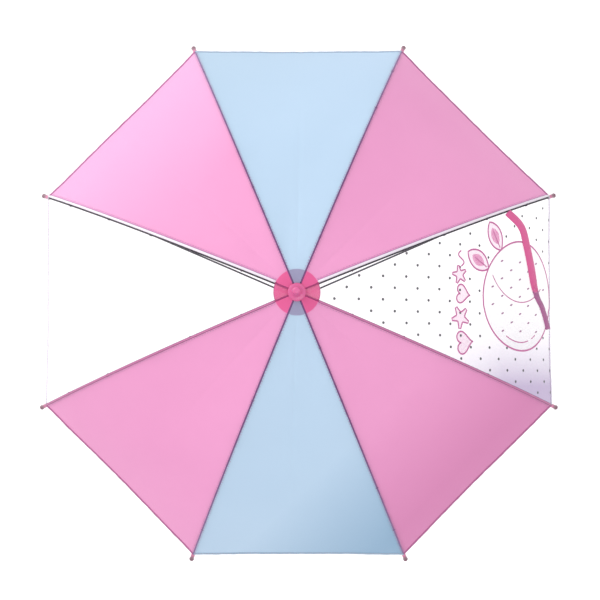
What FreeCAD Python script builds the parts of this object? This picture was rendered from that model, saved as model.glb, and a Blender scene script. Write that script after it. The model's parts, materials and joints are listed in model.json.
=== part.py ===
import FreeCAD, Part
import math
import os

from FreeCAD import Vector

# Child's stick umbrella, open. Millimetres, +Z up along the shaft, origin at the middle of the
# hand grip. The crook of the handle reaches towards -Y. Rib 1 stands at half a panel's angle
# from +X and the ribs are numbered anticlockwise seen from above. Panel N lies between rib N and
# the next one, so the last panel is centred on +X.

# ---------------------------------------------------------------- overall sizes
RIB_COUNT = 8
HEM_ARC = 455.0            # along a rib, from its pivot in the top notch to the hem
RIB_SLOPE_TOP = 5.0        # degrees below level where a rib leaves the notch
RIB_BEND = 46.0            # degrees that a rib turns through between its pivot and the hem
NOTCH_Z = 525.0            # height of the rib pivots above the middle of the grip
PIVOT_RADIUS = 12.0        # from the shaft's axis to the rib pivots and to the runner's pivots
JOINT_ARC = 222.0          # along a rib, from its pivot to its joint with the stretcher
CLOSED_TIP_RADIUS = 38.0   # from the shaft's axis to a rib's end when the umbrella is shut
PAST = 1.0                 # how far a cutting shape reaches past what it cuts

# ---------------------------------------------------------------- shaft and top
TUBE_RADIUS = 4.0
TUBE_WALL = 0.6
TUBE_IN_HANDLE = 70.0      # length of tube held in the handle
TUBE_ABOVE_NOTCH = 22.0
FIXED_FIT = 0.05           # radial gap of pieces fixed on the tube
RUNNING_FIT = 0.08         # radial gap of pins that turn
SOFT_GAP = 0.5             # kept between cloth and whatever is next to it
RIM_PAST_PIVOT = 3.5       # from a pivot to the rim of the notch, and of the runner's crown
NOTCH_BELOW = 6.0
NOTCH_ABOVE = 1.2
NOTCH_SLOT_FIT = 0.5       # each side of a blade in its slot
SLOT_FLOOR_FIT = 0.4       # from the larger eye to the floor of its slot
RING_WIRE_RADIUS = 0.6
FERRULE_FLANGE_RADIUS = 12.0
FERRULE_FLANGE_THICKNESS = 2.4
FERRULE_TIP_RADIUS = 4.6
FERRULE_TIP_LENGTH = 14.0
FERRULE_HEIGHT = 42.0      # from the rib pivots to the very top
FERRULE_ROUNDING = 2.2
FERRULE_FLANGE_CHAMFER = 1.0
FERRULE_FOOT_SPREAD = 2.4  # how far the spike flares where it meets the flange
FERRULE_FOOT_RISE = 1.5
FERRULE_SOCKET_GAP = 1.0   # above the tube's end

# ---------------------------------------------------------------- ribs and stretchers
RIB_WIDTH = 3.4
RIB_HEIGHT = 3.2
RIB_WALL = 0.5
JOINT_FIT = 0.3            # from a stretcher's flattened end to each ear of its rib
BLADE_LAP = 0.2            # a rib's blade reaches into the channel's roof
BLADE_RECESS = 0.3         # and stops short of its open side
RIB_EYE_RADIUS = 1.8
RIB_BLADE_LENGTH = 16.0
CHANNEL_START_ARC = 8.0
RIB_PAST_HEM = 3.5
TIP_RADIUS = 2.9
TIP_BALL_RADIUS = 3.5
TIP_LENGTH = 18.0          # from the hem to the middle of the tip's ball
TIP_FIT = 0.02             # between a tip and the rib's end that it is moulded over
JOINT_DROP = 4.0           # from a rib's middle line down to its joint pin
EAR_RADIUS = 2.4
EAR_LAP = 0.6              # an ear reaches up into the rib's side wall
RIVET_RADIUS = 0.8
RIVET_HEAD_RADIUS = 1.6
RIVET_HEAD_THICKNESS = 0.55
STRETCHER_WIRE_RADIUS = 1.2
STRETCHER_EYE_RADIUS = 2.0
STRETCHER_BLADE_LENGTH = 13.0
STRETCHER_WIRE_SETBACK = 9.0
STRETCHER_BLADE_TAPER = 0.7

# ---------------------------------------------------------------- canopy, rosette, strap
CLOTH = 0.8
ROSETTE_RADIUS = 32.0
ROSETTE_THICKNESS = 0.4
ROSETTE_GAP = 0.9          # from the round rosette up to the flat-sided canopy over it
ROSETTE_HOLE_RADIUS = 5.0
CANOPY_HOLE_RADIUS = 6.0
PANEL_SIDE_GAP = 0.2       # from a panel's edge to the plane of its rib
STRAP_WIDTH = 12.0
STRAP_TAIL_WIDTH = 8.0
STRAP_TAIL_START = 0.55    # share of the strap's length where it starts to narrow
STRAP_THICKNESS = 1.0
STRAP_START_SHARE = 0.80   # where the strap is sewn on, as a share of the open radius
STRAP_TAPER = 0.25         # share of the strap's length that narrows
STRAP_FROM_SEAM = 1.5      # degrees from the rib to the middle of the strap's start
STRAP_STEPS = 24
STRAP_FASTENER_POINT = 4   # which point of its line the snap is on
FASTENER_RADIUS = 4.6
FASTENER_STUD_RADIUS = 2.8
FASTENER_HEIGHT = 1.8
FASTENER_GAP = 0.1

# ---------------------------------------------------------------- runner and catches
RUNNER_BORE_FIT = 0.1
SLEEVE_RADIUS = 8.5
SLEEVE_BELOW = 42.0
FLANGE_RADIUS = 9.2
FLANGE_HEIGHT = 5.0
FLANGE_TAPER = 1.2
CROWN_HALF_HEIGHT = 4.0
CROWN_SLOT_FIT = 0.7       # each side of a blade in its slot
GROOVE_DEPTH_FIT = 0.4     # from a catch's nose to the floor of the groove it slides in
GROOVE_SIDE_FIT = 0.6
WINDOW_LOW = 35.0          # below the runner's pivots
WINDOW_HIGH = 21.5
STOP_PIN_RADIUS = 1.0
STOP_PIN_LENGTH = 13.0
STOP_PIN_GAP = 0.5
CATCH_WIDTH = 2.4
CATCH_LEAF = 0.8
CATCH_LENGTH = 22.0
CATCH_NOSE_FOOT = 10.0
CATCH_NOSE_TOP = 20.0
CATCH_NOSE_FLAT = 2.0
CATCH_NOSE_RADIUS = 7.0    # how far the nose stands from the shaft's axis
CATCH_PIN_RADIUS = 0.6
CATCH_EYE_RADIUS = 1.3
CATCH_AXIS_X = 1.7
CATCH_WINDOW_GAP = 0.3     # in the tube, each side of a catch
CATCH_WINDOW_FOOT = 2.0    # and past the nose's foot and its top
CATCH_WINDOW_TOP = 1.5
LEDGE_BELOW_PIVOT = 23.0   # top catch's ledge below the open runner's pivots
LEDGE_LOW_BELOW_PIVOT = 33.5

# ---------------------------------------------------------------- handle
GRIP_RADIUS = 11.0
GRIP_ABOVE = 45.0
GRIP_BELOW = 50.0
CROOK_RADIUS = 30.0        # of the crook's middle line
CROOK_LEG = 12.0
CROOK_DIRECTION = -90.0    # degrees from +X
COLLAR_RADIUS = 12.5
COLLAR_HEIGHT = 7.0
COLLAR_BEAD = 1.4
COLLAR_BEVEL = 1.0
COLLAR_MOUTH = 3.0         # wall of the collar at its top
END_CAP_RADIUS = 11.6
END_CAP_HEIGHT = 3.0

# ---------------------------------------------------------------- worked out from the sizes
STEP_ANGLE = 360.0 / RIB_COUNT
HALF_ANGLE = STEP_ANGLE / 2
RHO = HEM_ARC / math.radians(RIB_BEND)
ARC_X = PIVOT_RADIUS - RHO * math.sin(math.radians(RIB_SLOPE_TOP))
ARC_Z = NOTCH_Z - RHO * math.cos(math.radians(RIB_SLOPE_TOP))
Y_AXIS = Vector(0, 1, 0)
Z_AXIS = Vector(0, 0, 1)


def slope_at(arc):
    """A rib's slope in degrees, that far along it from its pivot."""
    return RIB_SLOPE_TOP + math.degrees(arc / RHO)


def rib_point(slope, offset=0.0, y=0.0):
    """The point of the rib's arc with that slope, offset outwards from its middle line."""
    a = math.radians(slope)
    return Vector(ARC_X + (RHO + offset) * math.sin(a), y, ARC_Z + (RHO + offset) * math.cos(a))


def slope_at_radius(radius, offset=0.0):
    """The slope where an arc offset from the rib's is that far from the shaft's axis."""
    return math.degrees(math.asin((radius - ARC_X) / (RHO + offset)))


HEM_SLOPE = slope_at(HEM_ARC)
HEM_POINT = rib_point(HEM_SLOPE)
OPEN_RADIUS = HEM_POINT.x
JOINT_POINT = rib_point(slope_at(JOINT_ARC), -JOINT_DROP)
JOINT_DEPTH = NOTCH_Z - JOINT_POINT.z
JOINT_REACH = JOINT_POINT.x - PIVOT_RADIUS
LINK_LENGTH = math.hypot(JOINT_REACH, JOINT_DEPTH)  # notch to joint, and joint to runner
LINK_ANGLE = math.degrees(math.atan2(JOINT_DEPTH, JOINT_REACH))
TIP_LINE = math.hypot(OPEN_RADIUS - PIVOT_RADIUS, NOTCH_Z - HEM_POINT.z)
TIP_ANGLE = math.degrees(math.atan2(NOTCH_Z - HEM_POINT.z, OPEN_RADIUS - PIVOT_RADIUS))
FOLD_ANGLE = math.degrees(math.acos((CLOSED_TIP_RADIUS - PIVOT_RADIUS) / TIP_LINE)) - TIP_ANGLE
RUNNER_OPEN_Z = NOTCH_Z - 2 * JOINT_DEPTH
RUNNER_SHUT_Z = NOTCH_Z - 2 * LINK_LENGTH * math.sin(math.radians(LINK_ANGLE + FOLD_ANGLE))
RUNNER_TRAVEL = RUNNER_OPEN_Z - RUNNER_SHUT_Z
ROSETTE_UNDER = RIB_HEIGHT / 2 + SOFT_GAP           # heights above the rib's middle line
ROSETTE_OVER = ROSETTE_UNDER + ROSETTE_THICKNESS
CANOPY_UNDER = ROSETTE_OVER + ROSETTE_GAP
CANOPY_OVER = CANOPY_UNDER + CLOTH
TUBE_BORE = TUBE_RADIUS - TUBE_WALL
FIXED_BORE = TUBE_RADIUS + FIXED_FIT
THROUGH = 2 * (TUBE_RADIUS + PAST)                  # length of a hole right through the tube
BLADE_THICKNESS = RIB_WIDTH - 2 * (RIB_WALL + JOINT_FIT)   # flattened ends of ribs and stretchers
RIM_RADIUS = PIVOT_RADIUS + RIM_PAST_PIVOT
SLOT_FLOOR_RADIUS = PIVOT_RADIUS - max(RIB_EYE_RADIUS, STRETCHER_EYE_RADIUS) - SLOT_FLOOR_FIT


def cylinder(radius, low, high, x=0.0, y=0.0):
    """An upright cylinder between two heights."""
    return Part.makeCylinder(radius, high - low, Vector(x, y, low), Z_AXIS)


def cross_pin(radius, length, x, z):
    """A cylinder along Y, centred on y = 0."""
    return Part.makeCylinder(radius, length, Vector(x, -length / 2, z), Y_AXIS)


def block(low, high):
    """A box between two corners."""
    return Part.makeBox(high[0] - low[0], high[1] - low[1], high[2] - low[2], Vector(*low))


def turned(shape, angle):
    """A copy of the shape, turned about the shaft's axis."""
    copy = shape.copy()
    copy.rotate(Vector(0, 0, 0), Z_AXIS, angle)
    return copy


def plate(points, thickness):
    """A flat plate centred on y = 0 from an outline of (x, z) points."""
    corners = [Vector(x, -thickness / 2, z) for x, z in points]
    wire = Part.makePolygon(corners + corners[:1])
    return Part.Face(wire).extrude(Vector(0, thickness, 0))


def arc_bar(section, arc_from, arc_to):
    """A bar that follows the rib's arc. Its section is a list of (y, offset) corners."""
    start, end = slope_at(arc_from), slope_at(arc_to)
    corners = [rib_point(start, offset, y) for y, offset in section]
    face = Part.Face(Part.makePolygon(corners + corners[:1]))
    return face.revolve(Vector(ARC_X, 0, ARC_Z), Y_AXIS, end - start)


def lathe(outline):
    """A solid turned about the shaft's axis from (radius, z) corners."""
    corners = [Vector(r, 0, z) for r, z in outline]
    face = Part.Face(Part.makePolygon(corners + corners[:1]))
    return face.revolve(Vector(0, 0, 0), Z_AXIS, 360)


# ---------------------------------------------------------------- shaft
def shaft_tube():
    low = GRIP_ABOVE - TUBE_IN_HANDLE
    high = NOTCH_Z + TUBE_ABOVE_NOTCH
    tube = cylinder(TUBE_RADIUS, low, high).cut(cylinder(TUBE_BORE, low - PAST, high + PAST))
    half = CATCH_WIDTH / 2 + CATCH_WINDOW_GAP
    for pivot_z, sense in catch_places():
        ends = sorted(pivot_z + sense * along for along in (CATCH_NOSE_FOOT - CATCH_WINDOW_FOOT,
                                                            CATCH_NOSE_TOP + CATCH_WINDOW_TOP))
        tube = tube.cut(block((0, -half, ends[0]), (TUBE_RADIUS + PAST, half, ends[1])))
        tube = tube.cut(cross_pin(CATCH_PIN_RADIUS, THROUGH, CATCH_AXIS_X, pivot_z))
    return tube.cut(cross_pin(STOP_PIN_RADIUS, THROUGH, 0, stop_pin_z()))


def stop_pin_z():
    return RUNNER_OPEN_Z + CROWN_HALF_HEIGHT + STOP_PIN_GAP + STOP_PIN_RADIUS


def stop_pin():
    return cross_pin(STOP_PIN_RADIUS, STOP_PIN_LENGTH, 0, stop_pin_z())


def top_notch():
    low, high = NOTCH_Z - NOTCH_BELOW, NOTCH_Z + NOTCH_ABOVE
    body = cylinder(RIM_RADIUS, low, high).cut(cylinder(FIXED_BORE, low - PAST, high + PAST))
    body = body.cut(radial_slots(NOTCH_SLOT_FIT, low - PAST, high + PAST))
    return body.cut(ring(PIVOT_RADIUS, RING_WIRE_RADIUS))


def radial_slots(fit, low, high):
    """Upright slots through the rim, one in the plane of each rib, for the flattened ends."""
    half = BLADE_THICKNESS / 2 + fit
    slot = block((SLOT_FLOOR_RADIUS, -half, low), (RIM_RADIUS + PAST, half, high))
    return Part.makeCompound([turned(slot, HALF_ANGLE + n * STEP_ANGLE) for n in range(RIB_COUNT)])


def ring(radius, wire_radius):
    return Part.makeTorus(radius, wire_radius, Vector(0, 0, NOTCH_Z), Z_AXIS)


def ferrule_cap():
    low = rib_point(slope_at_radius(CANOPY_HOLE_RADIUS), CANOPY_OVER).z + SOFT_GAP
    top = NOTCH_Z + FERRULE_HEIGHT
    neck = top - FERRULE_TIP_LENGTH
    flange_top = low + FERRULE_FLANGE_THICKNESS
    body = lathe([
        (0, low), (FERRULE_FLANGE_RADIUS, low),
        (FERRULE_FLANGE_RADIUS, flange_top - FERRULE_FLANGE_CHAMFER),
        (FERRULE_FLANGE_RADIUS - FERRULE_FLANGE_CHAMFER, flange_top),
        (FERRULE_TIP_RADIUS + FERRULE_FOOT_SPREAD, flange_top + FERRULE_FOOT_RISE),
        (FERRULE_TIP_RADIUS, neck), (FERRULE_TIP_RADIUS, top), (0, top),
    ])
    rim = [e for e in body.Edges
           if e.BoundBox.ZMin > top - FIXED_FIT and e.BoundBox.XLength > FERRULE_TIP_RADIUS]
    body = body.makeFillet(FERRULE_ROUNDING, rim)
    socket_top = NOTCH_Z + TUBE_ABOVE_NOTCH + FERRULE_SOCKET_GAP
    return body.cut(cylinder(FIXED_BORE, low - PAST, socket_top))


def rosette_disc():
    """A thin shallow cone between the ribs' roots and the canopy."""
    inner = slope_at_radius(ROSETTE_HOLE_RADIUS, ROSETTE_UNDER)
    outer = slope_at_radius(ROSETTE_RADIUS, ROSETTE_UNDER)
    corners = [
        rib_point(inner, ROSETTE_UNDER), rib_point(outer, ROSETTE_UNDER),
        rib_point(outer, ROSETTE_OVER), rib_point(inner, ROSETTE_OVER),
    ]
    face = Part.Face(Part.makePolygon(corners + corners[:1]))
    return face.revolve(Vector(0, 0, 0), Z_AXIS, 360)


# ---------------------------------------------------------------- catches
def catch_places():
    """Each catch's pin height, and +1 if its nose is above the pin or -1 if below."""
    return [
        (RUNNER_OPEN_Z - LEDGE_BELOW_PIVOT - CATCH_NOSE_TOP, 1),
        (RUNNER_SHUT_Z - LEDGE_LOW_BELOW_PIVOT + CATCH_NOSE_TOP, -1),
    ]


def catch(pivot_z, sense):
    """A sprung leaf on a cross pin, with a wedge nose that stands out of the tube."""
    inner, outer = CATCH_AXIS_X - CATCH_LEAF / 2, CATCH_AXIS_X + CATCH_LEAF / 2
    leaf = plate([(inner, pivot_z), (outer, pivot_z), (outer, pivot_z + sense * CATCH_LENGTH),
                  (inner, pivot_z + sense * CATCH_LENGTH)], CATCH_WIDTH)
    top = pivot_z + sense * CATCH_NOSE_TOP
    nose = plate([(CATCH_AXIS_X, pivot_z + sense * CATCH_NOSE_FOOT),
                  (CATCH_NOSE_RADIUS, top - sense * CATCH_NOSE_FLAT),
                  (CATCH_NOSE_RADIUS, top), (CATCH_AXIS_X, top)], CATCH_WIDTH)
    eye = cross_pin(CATCH_EYE_RADIUS, CATCH_WIDTH, CATCH_AXIS_X, pivot_z)
    hole = cross_pin(CATCH_PIN_RADIUS + RUNNING_FIT, CATCH_WIDTH + 2 * PAST, CATCH_AXIS_X, pivot_z)
    return leaf.fuse([nose, eye]).removeSplitter().cut(hole)


def catch_pins():
    """Both cross pins, each as long as the chord of tube that it crosses."""
    half = math.sqrt(TUBE_RADIUS ** 2 - (CATCH_AXIS_X + CATCH_PIN_RADIUS) ** 2)
    pins = [cross_pin(CATCH_PIN_RADIUS, 2 * half, CATCH_AXIS_X, z) for z, _ in catch_places()]
    return Part.makeCompound(pins)


# ---------------------------------------------------------------- runner
def runner_sleeve():
    low, high = RUNNER_OPEN_Z - SLEEVE_BELOW, RUNNER_OPEN_Z + CROWN_HALF_HEIGHT
    body = lathe([
        (0, low), (FLANGE_RADIUS, low), (FLANGE_RADIUS, low + FLANGE_HEIGHT - FLANGE_TAPER),
        (SLEEVE_RADIUS, low + FLANGE_HEIGHT), (SLEEVE_RADIUS, high), (0, high),
    ])
    body = body.cut(cylinder(TUBE_RADIUS + RUNNER_BORE_FIT, low - PAST, high + PAST))
    half = CATCH_WIDTH / 2 + GROOVE_SIDE_FIT
    groove = block((0, -half, low - PAST), (CATCH_NOSE_RADIUS + GROOVE_DEPTH_FIT, half, high + PAST))
    window = block((0, -half, RUNNER_OPEN_Z - WINDOW_LOW),
                   (FLANGE_RADIUS + PAST, half, RUNNER_OPEN_Z - WINDOW_HIGH))
    return body.cut([groove, window])


def runner_crown():
    low, high = RUNNER_OPEN_Z - CROWN_HALF_HEIGHT, RUNNER_OPEN_Z + CROWN_HALF_HEIGHT
    body = cylinder(RIM_RADIUS, low, high)
    body = body.cut(cylinder(SLEEVE_RADIUS + FIXED_FIT, low - PAST, high + PAST))
    return body.cut(radial_slots(CROWN_SLOT_FIT, low - PAST, high + PAST))


# ---------------------------------------------------------------- ribs and stretchers, along +X
def rib_channel_section():
    w, h, t = RIB_WIDTH / 2, RIB_HEIGHT / 2, RIB_WALL
    return [(-w, -h), (-w, h), (w, h), (w, -h), (w - t, -h), (w - t, h - t), (t - w, h - t), (t - w, -h)]


def joint_ears():
    """The two ears under a rib that hold the stretcher's pin."""
    slope = slope_at(JOINT_ARC)
    inner = RIB_WIDTH / 2 - RIB_WALL
    disc = Part.makeCylinder(EAR_RADIUS, RIB_WALL, JOINT_POINT + Vector(0, inner, 0), Y_AXIS)
    along = Vector(math.cos(math.radians(slope)), 0, -math.sin(math.radians(slope)))
    top = EAR_LAP - RIB_HEIGHT / 2
    corners = [
        rib_point(slope, offset, inner) + along * (side * EAR_RADIUS)
        for side, offset in ((-1, -JOINT_DROP), (1, -JOINT_DROP), (1, top), (-1, top))
    ]
    web = Part.Face(Part.makePolygon(corners + corners[:1])).extrude(Vector(0, RIB_WALL, 0))
    ear = disc.fuse(web).removeSplitter()
    return [ear, ear.mirror(Vector(0, 0, 0), Y_AXIS)]


def joint_hole(radius):
    return cross_pin(radius, RIB_WIDTH + 2 * PAST, JOINT_POINT.x, JOINT_POINT.z)


def rib():
    half = BLADE_THICKNESS / 2
    top = RIB_HEIGHT / 2 - RIB_WALL + BLADE_LAP
    low = BLADE_RECESS - RIB_HEIGHT / 2
    channel = arc_bar(rib_channel_section(), CHANNEL_START_ARC, HEM_ARC + RIB_PAST_HEM)
    blade = arc_bar([(-half, low), (-half, top), (half, top), (half, low)], 0, RIB_BLADE_LENGTH)
    eye = cross_pin(RIB_EYE_RADIUS, BLADE_THICKNESS, PIVOT_RADIUS, NOTCH_Z)
    body = channel.fuse([blade, eye] + joint_ears()).removeSplitter()
    body = body.cut(cross_pin(RING_WIRE_RADIUS + RUNNING_FIT, RIB_WIDTH + 2 * PAST, PIVOT_RADIUS, NOTCH_Z))
    return body.cut(joint_hole(RIVET_RADIUS))


def rib_tip():
    """A moulded cap over the rib's end, with a ball that keeps the point blunt."""
    slope = math.radians(HEM_SLOPE)
    along = Vector(math.cos(slope), 0, -math.sin(slope))
    start = HEM_POINT + along * SOFT_GAP
    cap = Part.makeCylinder(TIP_RADIUS, TIP_LENGTH - SOFT_GAP, start, along)
    ball = Part.makeSphere(TIP_BALL_RADIUS, HEM_POINT + along * TIP_LENGTH)
    return cap.fuse(ball).removeSplitter().cut(rib_end_core())


def rib_end_core():
    """The solid block that the tip is moulded over, a little larger than the channel."""
    w, h = RIB_WIDTH / 2 + TIP_FIT, RIB_HEIGHT / 2 + TIP_FIT
    section = [(-w, -h), (-w, h), (w, h), (w, -h)]
    return arc_bar(section, HEM_ARC - PAST, HEM_ARC + RIB_PAST_HEM)


def rib_rivet():
    """The joint's pin, headed outside both ears."""
    pin = cross_pin(RIVET_RADIUS, RIB_WIDTH + 2 * RIVET_HEAD_THICKNESS, JOINT_POINT.x, JOINT_POINT.z)
    heads = [
        Part.makeCylinder(RIVET_HEAD_RADIUS, RIVET_HEAD_THICKNESS,
                          Vector(JOINT_POINT.x, side * RIB_WIDTH / 2, JOINT_POINT.z), Y_AXIS * side)
        for side in (1, -1)
    ]
    return pin.fuse(heads).removeSplitter()


def stretcher():
    """A wire with two flattened eyes, from the rib's joint in to the runner's crown."""
    inner_end = Vector(PIVOT_RADIUS, 0, RUNNER_OPEN_Z)
    line = inner_end - JOINT_POINT
    along = line * (1 / line.Length)
    across = Vector(-along.z, 0, along.x)
    wire = Part.makeCylinder(STRETCHER_WIRE_RADIUS, line.Length - 2 * STRETCHER_WIRE_SETBACK,
                             JOINT_POINT + along * STRETCHER_WIRE_SETBACK, along)
    pieces = []
    for end, inwards in ((JOINT_POINT, along), (inner_end, along * -1)):
        corners = [
            end + across * (side * STRETCHER_EYE_RADIUS) + inwards * (share * STRETCHER_BLADE_LENGTH)
            for side, share in ((1, 0), (STRETCHER_BLADE_TAPER, 1), (-STRETCHER_BLADE_TAPER, 1), (-1, 0))
        ]
        pieces.append(plate([(p.x, p.z) for p in corners], BLADE_THICKNESS))
        pieces.append(cross_pin(STRETCHER_EYE_RADIUS, BLADE_THICKNESS, end.x, end.z))
    body = wire.fuse(pieces).removeSplitter()
    for end, pin in ((JOINT_POINT, RIVET_RADIUS), (inner_end, RING_WIRE_RADIUS)):
        body = body.cut(cross_pin(pin + RUNNING_FIT, BLADE_THICKNESS + 2 * PAST, end.x, end.z))
    return body


# ---------------------------------------------------------------- canopy
def shell(under, over, slope_from, slope_to, side_gap):
    """A curved sheet ruled straight across from one rib's plane to the next, centred on +X."""
    wires = []
    for side in (1, -1):
        middle = (slope_from + slope_to) / 2
        y = -side_gap
        outer = Part.Arc(rib_point(slope_from, over, y), rib_point(middle, over, y),
                         rib_point(slope_to, over, y))
        inner = Part.Arc(rib_point(slope_to, under, y), rib_point(middle, under, y),
                         rib_point(slope_from, under, y))
        ends = [
            Part.LineSegment(rib_point(slope_to, over, y), rib_point(slope_to, under, y)),
            Part.LineSegment(rib_point(slope_from, under, y), rib_point(slope_from, over, y)),
        ]
        wire = Part.Wire([outer.toShape(), ends[0].toShape(), inner.toShape(), ends[1].toShape()])
        if side < 0:
            wire = wire.mirror(Vector(0, 0, 0), Y_AXIS)
        wires.append(turned(wire, side * HALF_ANGLE))
    return Part.makeLoft(wires, True, True)


def panel():
    top = slope_at_radius(CANOPY_HOLE_RADIUS, CANOPY_UNDER)
    return shell(CANOPY_UNDER, CANOPY_OVER, top, HEM_SLOPE, PANEL_SIDE_GAP)


def strap_line():
    """Plan points of the strap's middle line on the +X panel, from its seam to its free end."""
    apothem = OPEN_RADIUS * math.cos(math.radians(HALF_ANGLE))
    reach = STRAP_START_SHARE * OPEN_RADIUS
    seam = math.radians(HALF_ANGLE - STRAP_FROM_SEAM)
    start = Vector(reach * math.cos(seam), reach * math.sin(seam), 0)
    inwards_and_along = [
        (4.3, 8.6), (3.5, 6.2), (2.9, 3.7), (2.5, 1.7), (2.0, 0.2), (1.2, -1.2), (0.4, -3.6),
    ]  # in strap widths
    return [start] + [
        Vector(apothem - inwards * STRAP_WIDTH, along * STRAP_WIDTH, 0)
        for inwards, along in inwards_and_along
    ]


def tie_strap():
    """A webbing strap laid over the canopy: a band of its plan shape cut from a thin shell."""
    line = Part.BSplineCurve()
    line.interpolate(strap_line())
    left, right = [], []
    for n in range(STRAP_STEPS + 1):
        share = n / STRAP_STEPS
        u = line.FirstParameter + (line.LastParameter - line.FirstParameter) * share
        point, along = line.value(u), line.tangent(u)[0]
        tail = max(0.0, min(1.0, (share - STRAP_TAIL_START) / STRAP_TAPER))
        half = (STRAP_WIDTH * (1 - tail) + STRAP_TAIL_WIDTH * tail) / 2
        side = Vector(-along.y, along.x, 0) * half
        left.append(point + side)
        right.append(point - side)
    edges = []
    for points in (left, right):
        curve = Part.BSplineCurve()
        curve.interpolate(points)
        edges.append(curve.toShape())
    edges.append(Part.makeLine(left[0], right[0]))
    edges.append(Part.makeLine(left[-1], right[-1]))
    outline = Part.Face(Part.Wire(Part.__sortEdges__(edges)))
    low = HEM_POINT.z - 2 * STRAP_WIDTH
    outline.translate(Vector(0, 0, low))
    band = outline.extrude(Vector(0, 0, NOTCH_Z - low))
    under = CANOPY_OVER + SOFT_GAP
    return band.common(shell(under, under + STRAP_THICKNESS, slope_at(HEM_ARC / 2), HEM_SLOPE,
                             PANEL_SIDE_GAP))


def strap_fastener():
    """A snap stud through the strap, square to the canopy under it."""
    spot = strap_line()[STRAP_FASTENER_POINT]
    offset = CANOPY_OVER + SOFT_GAP + STRAP_THICKNESS
    cosine = math.cos(math.radians(HALF_ANGLE))
    slope = slope_at_radius(spot.x / cosine, offset)
    base = rib_point(slope, offset)
    steep = math.atan(math.tan(math.radians(slope)) / cosine)
    normal = Vector(math.sin(steep), 0, math.cos(steep))
    foot = Vector(spot.x, spot.y, base.z) + normal * FASTENER_GAP
    disc = Part.makeCylinder(FASTENER_RADIUS, FASTENER_HEIGHT / 2, foot, normal)
    stud = Part.makeCylinder(FASTENER_STUD_RADIUS, FASTENER_HEIGHT, foot, normal)
    return disc.fuse(stud).removeSplitter()


# ---------------------------------------------------------------- handle
def handle_grip():
    """A straight grip that runs into the crook, moulded in one piece."""
    straight = cylinder(GRIP_RADIUS, -GRIP_BELOW, GRIP_ABOVE)
    ring_face = Part.Face(Part.Wire(Part.makeCircle(GRIP_RADIUS, Vector(0, 0, -GRIP_BELOW), Z_AXIS)))
    crook = ring_face.revolve(Vector(CROOK_RADIUS, 0, -GRIP_BELOW), Y_AXIS * -1, 180)
    leg = cylinder(GRIP_RADIUS, -GRIP_BELOW, -GRIP_BELOW + CROOK_LEG, 2 * CROOK_RADIUS)
    body = straight.fuse([crook, leg]).removeSplitter()
    body = body.cut(cylinder(FIXED_BORE, GRIP_ABOVE - TUBE_IN_HANDLE - PAST, GRIP_ABOVE + PAST))
    return turned(body, CROOK_DIRECTION)


def handle_collar():
    """A beaded ring that closes the grip's top."""
    low, high = GRIP_ABOVE, GRIP_ABOVE + COLLAR_HEIGHT
    body = lathe([
        (0, low), (COLLAR_RADIUS, low), (COLLAR_RADIUS, low + COLLAR_HEIGHT / 2),
        (COLLAR_RADIUS - COLLAR_BEAD, low + COLLAR_HEIGHT / 2 + COLLAR_BEVEL),
        (TUBE_RADIUS + COLLAR_MOUTH, high), (0, high),
    ])
    return body.cut(cylinder(FIXED_BORE, low - PAST, high + PAST))


def handle_end_cap():
    """The rounded stopper on the crook's free end."""
    low = -GRIP_BELOW + CROOK_LEG
    top = low + END_CAP_HEIGHT
    middle = 2 * CROOK_RADIUS
    band = cylinder(END_CAP_RADIUS, low, top, middle)
    dome = Part.makeSphere(END_CAP_RADIUS, Vector(middle, 0, top))
    over = cylinder(END_CAP_RADIUS + PAST, top, top + END_CAP_RADIUS + PAST, middle)
    return turned(band.fuse(dome.common(over)).removeSplitter(), CROOK_DIRECTION)


# ---------------------------------------------------------------- every node
def nodes():
    made = {
        "shaft_tube": shaft_tube(),
        "top_notch": top_notch(),
        "notch_wire": ring(PIVOT_RADIUS, RING_WIRE_RADIUS),
        "ferrule_cap": ferrule_cap(),
        "rosette_disc": rosette_disc(),
        "stop_pin": stop_pin(),
        "catch_pins": catch_pins(),
        "handle_grip": handle_grip(),
        "handle_collar": handle_collar(),
        "handle_end_cap": handle_end_cap(),
        "top_catch": catch(*catch_places()[0]),
        "bottom_catch": catch(*catch_places()[1]),
        "runner_sleeve": runner_sleeve(),
        "runner_crown": runner_crown(),
        "tie_strap": tie_strap(),
        "strap_fastener": strap_fastener(),
    }
    along_x = {
        "rib": rib(), "rib_tip": rib_tip(), "rib_rivet": rib_rivet(), "stretcher": stretcher(),
    }
    gore = panel()
    for n in range(RIB_COUNT):
        angle = HALF_ANGLE + n * STEP_ANGLE
        for name, shape in along_x.items():
            made[f"{name}_{n + 1}"] = turned(shape, angle)
        made[f"canopy_panel_{n + 1}"] = turned(gore, angle + HALF_ANGLE)
    return made


os.makedirs("parts", exist_ok=True)
for node, shape in nodes().items():
    shape.exportStep(f"parts/{node}.step")
    print(f"{node}: {len(shape.Solids)} solid(s), {shape.Volume:.1f} mm3, valid {shape.isValid()}")
print(f"open radius {OPEN_RADIUS:.2f}, hem height {HEM_POINT.z:.2f}")
print(f"joint ({JOINT_POINT.x:.4f}, {JOINT_POINT.z:.4f}), link length {LINK_LENGTH:.4f}")
print(f"fold angle {FOLD_ANGLE:.5f} degrees, runner travel {RUNNER_TRAVEL:.5f}")
print(f"runner pivots open {RUNNER_OPEN_Z:.4f}, shut {RUNNER_SHUT_Z:.4f}")
print("catch pins", [(round(z, 4), s) for z, s in catch_places()])
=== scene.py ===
import json
import math

import bpy
import numpy as np
from mathutils import Matrix, Vector


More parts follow.
